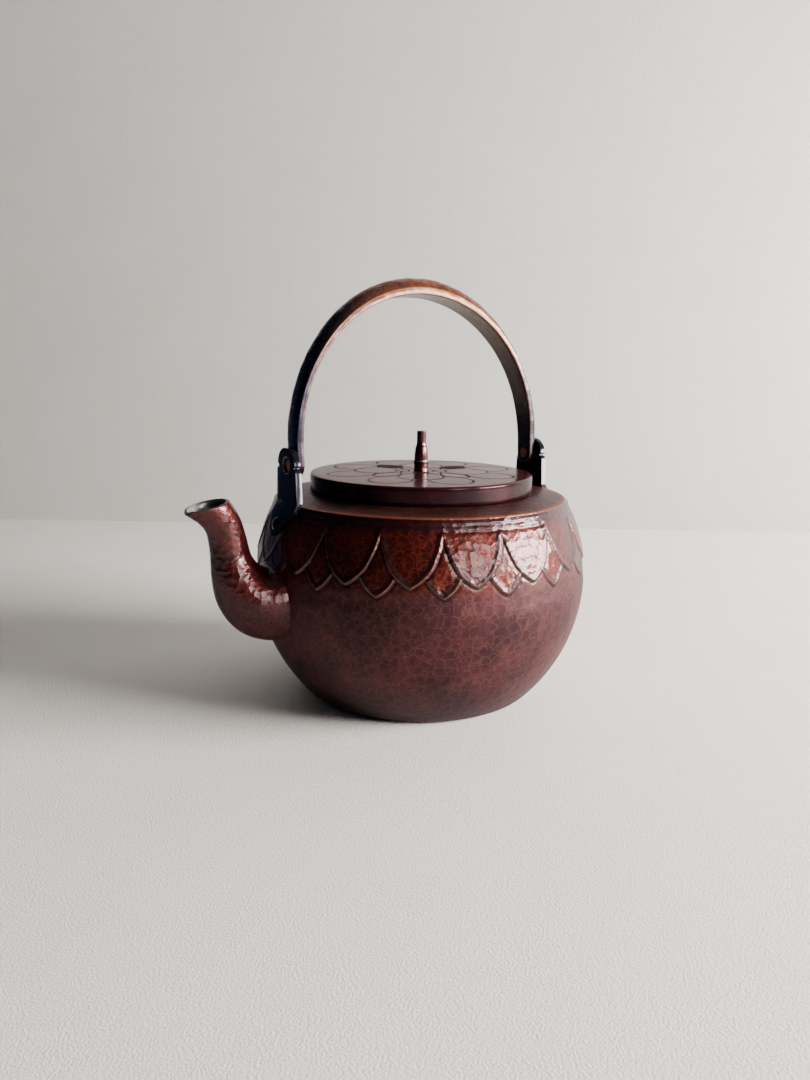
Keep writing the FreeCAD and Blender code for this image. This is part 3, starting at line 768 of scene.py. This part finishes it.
def lacquered_copper(name, banded):
    """Raised copper, hammered, patinated and lacquered: hammer marks ringed by thin bare-copper lines,
    glossy red-brown above and in the petals, a drier purple-brown below."""
    made, tree, place = new_finish(name)
    depth, line = ringed_marks(tree, place, FACET if banded else SPOUT_FACET)
    cloud = add(tree, NOISE, place, 0.07, 5.0, 0.6)
    speck = add(tree, NOISE, place, 1.6, 3.0, 0.7)
    height_up = add(tree, SPLIT, place).outputs["Z"]
    if banded:
        petal_depth, petal_line = ringed_marks(tree, place, PETAL_FACET)
        big, small, along = petal_fields(tree, place)
        in_big, in_small = [add(tree, RANGE, gap, 0.25, -0.25, **SOFTLY) for gap in (big, small)]
        inside = add(tree, MATH, in_big, in_small, **LARGER)
        upper = add(tree, RANGE, height_up, 51.5, 57.5, **SOFTLY)
        glossy = add(tree, MATH, inside, upper, **LARGER)
        depth = add(tree, MIX, glossy, depth, petal_depth)
        line = add(tree, MIX, glossy, line, petal_line)
    else:
        glossy = add(tree, RANGE, height_up, 36.0, 54.0, **SOFTLY)
    dry_low, dry_high, warm_low, warm_high = BODY_TONES if banded else SPOUT_TONES
    clouded = add(tree, RANGE, cloud, 0.3, 0.7, **SOFTLY)
    dry = add(tree, MIX, clouded, srgb(dry_low), srgb(dry_high), **COLOURS)
    warm = add(tree, MIX, clouded, srgb(warm_low), srgb(warm_high), **COLOURS)
    colour = add(tree, MIX, glossy, dry, warm, **COLOURS)
    shade = add(tree, MATH, add(tree, RANGE, depth, 0.0, 0.3, **SOFTLY), 0.22, 0.82, **TIMES_PLUS)
    colour = add(tree, MIX, 1.0, colour, shade, **COLOURS, blend_type="MULTIPLY")
    bright_lines = add(tree, MIX, glossy, srgb("7e5340"), srgb("8a3a1a"), **COLOURS)
    share = add(tree, MATH, glossy, 0.13 if banded else -0.02, 0.17, **TIMES_PLUS)
    colour = add(tree, MIX, add(tree, MATH, line, share, **TIMES), colour, bright_lines, **COLOURS)
    dished = add(tree, MATH, glossy, 0.17, 0.12, **TIMES_PLUS)
    height = add(tree, MATH, speck, 0.07, add(tree, MATH, depth, dished, **TIMES), **TIMES_PLUS)
    # darker towards the bottom
    darker_low = add(tree, MATH, add(tree, RANGE, height_up, 24.0, 2.0, **SOFTLY), 0.6, **TIMES)
    colour = add(tree, MIX, darker_low, colour, srgb("170f12"), **COLOURS)
    coat = add(tree, MATH, glossy, 0.32 if banded else 0.4, 0.05, **TIMES_PLUS)
    rough = add(tree, MATH, glossy, -0.14, 0.46, **TIMES_PLUS)
    if banded:
        band = add(tree, RANGE, along, PETAL_TOP + 0.8, PETAL_TOP - 1.0, **SOFTLY)
        clear = add(tree, RANGE, big, 0.3, 0.9, **SOFTLY)
        # painted shade on the petals' bevels and a painted highlight on their crests
        for gap, cover in ((small, clear), (big, 1.0)):
            for middle, half, most, tone in BORDER_SHADE_AND_HIGHLIGHT:
                shown = add(tree, MATH, bump_at(tree, gap, middle, half), band, **TIMES)
                shown = add(tree, MATH, add(tree, MATH, shown, cover, **TIMES), most, **TIMES)
                colour = add(tree, MIX, shown, colour, srgb(tone), **COLOURS)
        # painted shade: the cove under the ridge is darkened
        cove = add(tree, RANGE, along, PETAL_TOP - 1.2, PETAL_TOP + 1.8, **SOFTLY)
        colour = add(tree, MIX, add(tree, MATH, cove, 0.75, **TIMES), colour, srgb("170b0f"), **COLOURS)
        seat = add(tree, RANGE, height_up, RIDGE_Z - 0.5, RIDGE_Z, **SOFTLY)
        worn = add(tree, RANGE, cloud, 0.35, 0.65, **SOFTLY)
        worn = add(tree, MIX, worn, srgb("2a1816"), srgb("4a2820"), **COLOURS)
        colour = add(tree, MIX, seat, colour, worn, **COLOURS)
        # painted highlight: a bright copper line along the ridge's edge
        edge = add(tree, MATH, bump_at(tree, height_up, RIDGE_Z - 0.1, 0.35), 0.7, **TIMES)
        colour = add(tree, MIX, edge, colour, srgb("9a5231"), **COLOURS)
        coat = add(tree, MATH, seat, -0.8, coat, **TIMES_PLUS)
        relief = add(tree, MATH, petal_relief(tree, place), inside, **TIMES)
        height = add(tree, MATH, relief, 0.35, height, **TIMES_PLUS)
    bump = add(tree, BUMP, named={"Strength": 0.7, "Distance": MM, "Height": height})
    return finished(made, {
        "Base Color": colour, "Metallic": add(tree, MATH, glossy, 0.2, 0.35, **TIMES_PLUS),
        "Roughness": add(tree, MATH, speck, 0.14, rough, **TIMES_PLUS), "Specular IOR Level": 0.25,
        "Specular Tint": srgb("d4c6d2"), "Coat Weight": coat, "Coat Roughness": 0.07,
        "Normal": bump, "Coat Normal": bump})


def tinned_copper():
    """Hot-tinned copper: dull silver grey, wiped on by hand, so it is cloudy and satin; brightest at the
    spout's beak, with painted shade darkening it everywhere further in."""
    made, tree, place = new_finish("tinned_copper_wiped")
    cloud = add(tree, NOISE, place, 0.25, 5.0, 0.6)
    bright = add(tree, MIX, cloud, srgb("8f8d8a"), srgb("cfcdc8"), **COLOURS)
    # painted shade: the tin is darkened from the spout's beak inwards and all through the body
    inward = add(tree, RANGE, add(tree, SPLIT, place).outputs["X"], -90.5, -86.0, **SOFTLY)
    painted_depth_shade = add(tree, MATH, inward, 0.85, **TIMES)
    colour = add(tree, MIX, painted_depth_shade, bright, srgb("3b3a3d"), **COLOURS)
    return finished(made, {"Base Color": colour, "Metallic": 0.9,
                           "Roughness": add(tree, MATH, cloud, 0.3, 0.22, **TIMES_PLUS)})


def planished_copper():
    """Copper planished smooth, patinated and waxed: pinkish brown, near mirror, with dark chased lines,
    the flower's two far diamond petals darkened as painted shadow and the skirt darkened as painted shade."""
    made, tree, place = new_finish("planished_copper_waxed")
    lines, diamond, split = flower_lines(tree, place)
    top = add(tree, RANGE, split.outputs["Z"], *LID_TOP, **SOFTLY)
    cloud = add(tree, NOISE, place, 0.09, 4.0, 0.55)
    fine = add(tree, NOISE, place, 3.0, 2.0)
    mottled = add(tree, MATH, add(tree, RANGE, cloud, 0.3, 0.7, **SOFTLY), 0.75, **TIMES)
    mottled = add(tree, MATH, fine, 0.25, mottled, **TIMES_PLUS)
    colour = add(tree, MIX, mottled, srgb("2c1012"), srgb("52282a"), **COLOURS)
    # painted shade: the skirt is a darker copy of the top's colour
    side = add(tree, MIX, mottled, srgb("14060b"), srgb("2c0f13"), **COLOURS)
    colour = add(tree, MIX, top, side, colour, **COLOURS)
    drawn = add(tree, MATH, lines, top, **TIMES)
    # painted shadow: the two diamond petals on the far side of the flower are darkened
    far = add(tree, VECTOR, place, FLOWER_AXIS, operation="DOT_PRODUCT").outputs["Value"]
    painted_far_shadow = add(tree, MATH, diamond, add(tree, RANGE, far, -1.0, 1.0, **SOFTLY), **TIMES)
    dark = add(tree, MATH, drawn, add(tree, MATH, painted_far_shadow, top, **TIMES), **LARGER)
    colour = add(tree, MIX, add(tree, MATH, dark, 0.9, **TIMES), colour, srgb("12090b"), **COLOURS)
    rough = add(tree, MATH, fine, 0.16, 0.16, **TIMES_PLUS)
    height = add(tree, MATH, fine, 0.02, add(tree, MATH, drawn, -0.15, **TIMES), **TIMES_PLUS)
    return finished(made, {
        "Base Color": colour, "Metallic": 0.55, "Specular IOR Level": 0.2, "Specular Tint": srgb("a68c96"),
        "Roughness": add(tree, MATH, dark, 0.4, rough, **TIMES_PLUS), "Coat Roughness": 0.1,
        "Coat Weight": add(tree, MATH, dark, -0.1, 0.11, **TIMES_PLUS)}, height)


def fire_black_copper():
    """Forged copper blackened in the fire and burnished: almost black with a blue cast, glossy, and
    rubbed bright round the hole that the pin sits in."""
    made, tree, place = new_finish("fire_black_forged_copper")
    cloud = add(tree, NOISE, place, 0.3, 4.0, 0.6)
    fine = add(tree, NOISE, place, 2.5, 3.0)
    colour = add(tree, MIX, cloud, srgb("15161f"), srgb("221d20"), **COLOURS)
    split = add(tree, SPLIT, place)
    level = add(tree, MATH, split.outputs["Z"], PIN_Z, **LESS)
    from_pin = add(tree, VECTOR, add(tree, JOIN, split.outputs["Y"], level, 0.0), operation="LENGTH")
    rim = bump_at(tree, from_pin.outputs["Value"], PIN_HOLE_R + 0.15, 0.4)
    height = add(tree, MATH, fine, 0.03, **TIMES)
    return finished(made, {
        "Base Color": add(tree, MIX, rim, colour, srgb("b59c8c"), **COLOURS), "Metallic": 0.6,
        "Roughness": add(tree, MATH, fine, 0.2, 0.14, **TIMES_PLUS), "Specular IOR Level": 0.25,
        "Specular Tint": srgb("8c8ea0"), "Coat Weight": 0.25, "Coat Roughness": 0.1}, height)


def strap_copper_with_painted_highlights():
    """Forged copper strap: black patina on the legs, brown over the top and toward the rear half, and
    painted highlights as bright rosy lines along its corners."""
    made, tree, place = new_finish("forged_copper_with_painted_highlights")
    middle = hammer_marks(tree, place, 1 / HANDLE_FACET)[0]
    split = add(tree, SPLIT, place)
    crowned = add(tree, "ShaderNodeAttribute", attribute_name="crowned").outputs["Fac"]
    cloud = add(tree, NOISE, place, 0.16, 4.0, 0.6)
    fine = add(tree, NOISE, place, 2.5, 3.0)
    # brown over the top of the arch, most toward the rear half, in patches
    rise = add(tree, RANGE, split.outputs["Z"], 118.0, 150.0, **SOFTLY)
    toward_rear = add(tree, RANGE, split.outputs["X"], -50.0, 0.0, **SOFTLY)
    brown_top = add(tree, MATH, rise, toward_rear, **TIMES)
    brown_top = add(tree, MATH, brown_top, add(tree, RANGE, cloud, 0.1, 0.6, **SOFTLY), **TIMES)
    inner = add(tree, MATH, add(tree, RANGE, crowned, 0.06, 0.01, **SOFTLY), 0.85, **TIMES)
    flank = add(tree, MATH, bump_at(tree, crowned, 0.2, 0.2), 0.9, **TIMES)
    # painted highlights: bright rosy lines on the crown's corners over the top, and fainter ones along the
    # inner corners
    corner = add(tree, MATH, bump_at(tree, crowned, 0.34, 0.09), rise, **TIMES)
    low_corner_highlight = add(tree, MATH, bump_at(tree, crowned, 0.05, 0.05), 0.4, **TIMES)
    bright_lines = add(tree, MATH, corner, low_corner_highlight, **LARGER)
    colour = add(tree, MIX, brown_top, srgb("191a26"), srgb("6b3c28"), **COLOURS)
    for share, tone in ((flank, "34191a"), (inner, "32261f"), (bright_lines, "a8744f")):
        colour = add(tree, MIX, share, colour, srgb(tone), **COLOURS)
    height = add(tree, MATH, fine, 0.03, add(tree, MATH, middle, 0.1, **TIMES), **TIMES_PLUS)
    return finished(made, {
        "Base Color": colour, "Metallic": 0.6,
        "Roughness": add(tree, MATH, fine, 0.2, 0.16, **TIMES_PLUS)}, height)


def turned_copper():
    """Copper turned on a lathe, patinated red-brown and polished: faint rings of the tool."""
    made, tree, place = new_finish("turned_copper_red_brown")
    cloud = add(tree, NOISE, place, 0.4, 3.0)
    rings = add(tree, MATH, add(tree, SPLIT, place).outputs["Z"], TAU / TOOL_PITCH, **TIMES)
    height = add(tree, MATH, add(tree, MATH, rings, operation="SINE"), 0.004, **TIMES)
    return finished(made, {
        "Base Color": add(tree, MIX, cloud, srgb("220b0e"), srgb("4c1a1c"), **COLOURS), "Metallic": 0.65,
        "Roughness": add(tree, MATH, cloud, 0.15, 0.15, **TIMES_PLUS), "Coat Weight": 0.6,
        "Coat Roughness": 0.1}, height)


def bare_metal(name, low, high, roughness, metallic=1.0):
    """Bare metal rubbed bright: a little cloudy in its colour and its gloss."""
    made, tree, place = new_finish(name)
    cloud = add(tree, NOISE, place, 0.8, 4.0)
    return finished(made, {
        "Base Color": add(tree, MIX, cloud, srgb(low), srgb(high), **COLOURS), "Metallic": metallic,
        "Roughness": add(tree, MATH, cloud, 0.2, roughness, **TIMES_PLUS)})


# ---- the kettle's pieces ------------------------------------------------------------------------
def dress(piece, finish):
    """Gives a piece or a solid that keeps its own shape its one finish."""
    piece.data.materials.clear()
    piece.data.materials.append(finish)


tin = tinned_copper()
black = fire_black_copper()
turned = turned_copper()

kettle = kettle_skin((lacquered_copper("lacquered_hammered_copper", True), tin))
spout = spout_skin((lacquered_copper("lacquered_hammered_spout", False), tin))
handle = handle_skin(strap_copper_with_painted_highlights())
lid = lid_skin(planished_copper())
skins = [(kettle, "root", "kettle_body", "lacquered_copper"), (spout, "root", "spout", "lacquered_copper"),
         (handle, "handle", "handle", "handle_copper"), (lid, "lid", "lid_cap", "lid_copper")]
for side in ("front", "rear"):
    plate = softened_copy(side + "_lug", side + "_lug_skin", 0.3)
    dress(plate, black)
    skins.append((plate, "root", side + "_lug", "dark_copper"))
    dress(NODES[side + "_lug_rivet"], black)
    dress(NODES[side + "_pin"], bare_metal("bare_copper_" + side, "8a4a33", "c27a58", 0.3, 0.6))
for piece, body, node, slot in skins:
    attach(piece, body)
    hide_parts(node)

dress(NODES["mouth_collar"], tin)
dress(NODES["knob_foot"], turned)
dress(NODES["lid_knob"], turned)
dress(NODES["knob_ring"], bare_metal("silver_solder_ring", "9a938c", "cfc8bf", 0.12))
dress(NODES["knob_washer"], bare_metal("bare_copper_washer", "8a4a33", "b8694a", 0.25))


# ---- room, light and camera ---------------------------------------------------------------------
TURN = math.radians(33)    # how far round the camera stands
CAMERA_OUT, CAMERA_UP = 318.72, 126.24
PITCH, YAW, ROLL = math.radians(11.946), math.radians(-1.07), math.radians(0.7536)


def in_room(right, away, up):
    """A direction or place given as seen from the camera's side of the table, in the kettle's frame."""
    return Vector((right * math.cos(TURN) + away * math.sin(TURN),
                   -right * math.sin(TURN) + away * math.cos(TURN), up))


def paint(name, low, high):
    """Matt paint on plaster or board: warm white, faintly grainy with a few specks; in the kettle's
    reflections its part on the spout's side glows dim blue, a painted reflection of a dark room."""
    made, tree, place = new_finish(name)
    cloud = add(tree, NOISE, place, 0.02, 5.0, 0.6)
    grain = add(tree, NOISE, place, 1.5, 4.0, 0.6)
    spot = add(tree, VORONOI, place, named={"Scale": 1 / 38.0, "Randomness": 1.0}, feature="F1")
    spot = add(tree, MATH, add(tree, RANGE, spot, 0.022, 0.008, **SOFTLY), 0.45, **TIMES)
    colour = add(tree, MIX, cloud, srgb(low), srgb(high), **COLOURS)
    finished(made, {
        "Base Color": add(tree, MIX, spot, colour, srgb("8a7a66"), **COLOURS), "Roughness": 0.6,
        "Normal": add(tree, BUMP, named={"Strength": 0.6, "Distance": 0.5 * MM, "Height": grain})})
    # painted reflection: glossy rays see the part toward the spout's side as a dim blue glow
    right = add(tree, VECTOR, place, in_room(1, 0, 0), operation="DOT_PRODUCT").outputs["Value"]
    mirrored = add(tree, "ShaderNodeLightPath").outputs["Is Glossy Ray"]
    dim = add(tree, MATH, add(tree, RANGE, right, -250.0, -400.0, **SOFTLY), mirrored, **TIMES)
    dark = add(tree, "ShaderNodeEmission", srgb("3c4668"), 1.0)
    sink = next(n for n in tree.nodes if n.type == "OUTPUT_MATERIAL")
    lit = sink.inputs["Surface"].links[0].from_socket
    feed(tree, sink.inputs["Surface"], add(tree, "ShaderNodeMixShader", dim, lit, dark))
    return made


def room():
    """Pale table, and the pale wall close behind it."""
    near, far, half, height = -1100.0, 335.0, 1300.0, 1500.0
    table = [in_room(-half, near, 0), in_room(half, near, 0), in_room(half, far, 0), in_room(-half, far, 0)]
    wall = [in_room(-half, far, -5), in_room(half, far, -5), in_room(half, far, height),
            in_room(-half, far, height)]
    for name, corners, finish in (("table", table, paint("painted_board", "ece8e1", "f8f5f0")),
                                  ("wall", wall, paint("painted_plaster", "aeaeaa", "b9b9b5"))):
        surface = new_piece(name, corners, [(0, 1, 2, 3)])
        surface.data.materials.append(finish)


# Name, degrees round from the camera's side, degrees up, width and height in metres, watts.
WINDOWS = (("window", 77, 18, 0.54, 0.27, 50.0), ("window_near", 38, 20, 0.24, 0.4, 7.0))


def soft_light(name, place, target, width, height, watts, colour):
    lamp = bpy.data.lights.new(name, "AREA")
    lamp.shape = "RECTANGLE"
    lamp.size, lamp.size_y = width, height
    lamp.energy = watts
    lamp.color = srgb(colour)[:3]
    made = bpy.data.objects.new(name, lamp)
    bpy.context.scene.collection.objects.link(made)
    made.location = place
    made.rotation_euler = (Vector(target) - Vector(place)).to_track_quat("-Z", "Y").to_euler()
    return made


def light():
    world = bpy.data.worlds.new("Room")
    bpy.context.scene.world = world
    world.use_nodes = True
    tree = world.node_tree
    ground = next(n for n in tree.nodes if n.type == "BACKGROUND")
    seen = add(tree, "ShaderNodeLightPath").outputs["Is Camera Ray"]
    feed(tree, ground.inputs["Color"], add(tree, MIX, seen, srgb("191c28"), srgb("c9c9c5"), **COLOURS))
    for name, round_to, rise, width, height, watts in WINDOWS:
        level, lift = math.radians(round_to), math.radians(rise)
        aim = in_room(math.sin(level) * math.cos(lift), -math.cos(level) * math.cos(lift), math.sin(lift))
        made = soft_light(name, aim, (0, 0, 0.05), width, height, watts, "fdf6f2")
        made.visible_diffuse = name == "window"      # the near one is only a gleam in the lacquer
    soft_light("ceiling", in_room(350, 160, 900) * MM, (0, 0.0, 0.0), 0.9, 0.9, 0.7, "f4f5fa")


def aim_camera():
    lens = bpy.data.cameras.new("camera")
    lens.lens = 27.03
    lens.sensor_width = 36.0
    lens.clip_start = 0.01
    made = bpy.data.objects.new("camera", lens)
    bpy.context.scene.collection.objects.link(made)
    bpy.context.scene.camera = made
    level = in_room(math.sin(YAW), math.cos(YAW), 0)
    ahead = Vector((level.x * math.cos(PITCH), level.y * math.cos(PITCH), -math.sin(PITCH)))
    right = ahead.cross(Vector((0, 0, 1))).normalized()
    up = right.cross(ahead)
    right_rolled = right * math.cos(ROLL) + up * math.sin(ROLL)
    up_rolled = up * math.cos(ROLL) - right * math.sin(ROLL)
    turned_to = Matrix((right_rolled, up_rolled, -ahead)).transposed()
    made.rotation_euler = turned_to.to_euler()
    made.location = in_room(0, -CAMERA_OUT, CAMERA_UP) * MM


room()
light()
aim_camera()
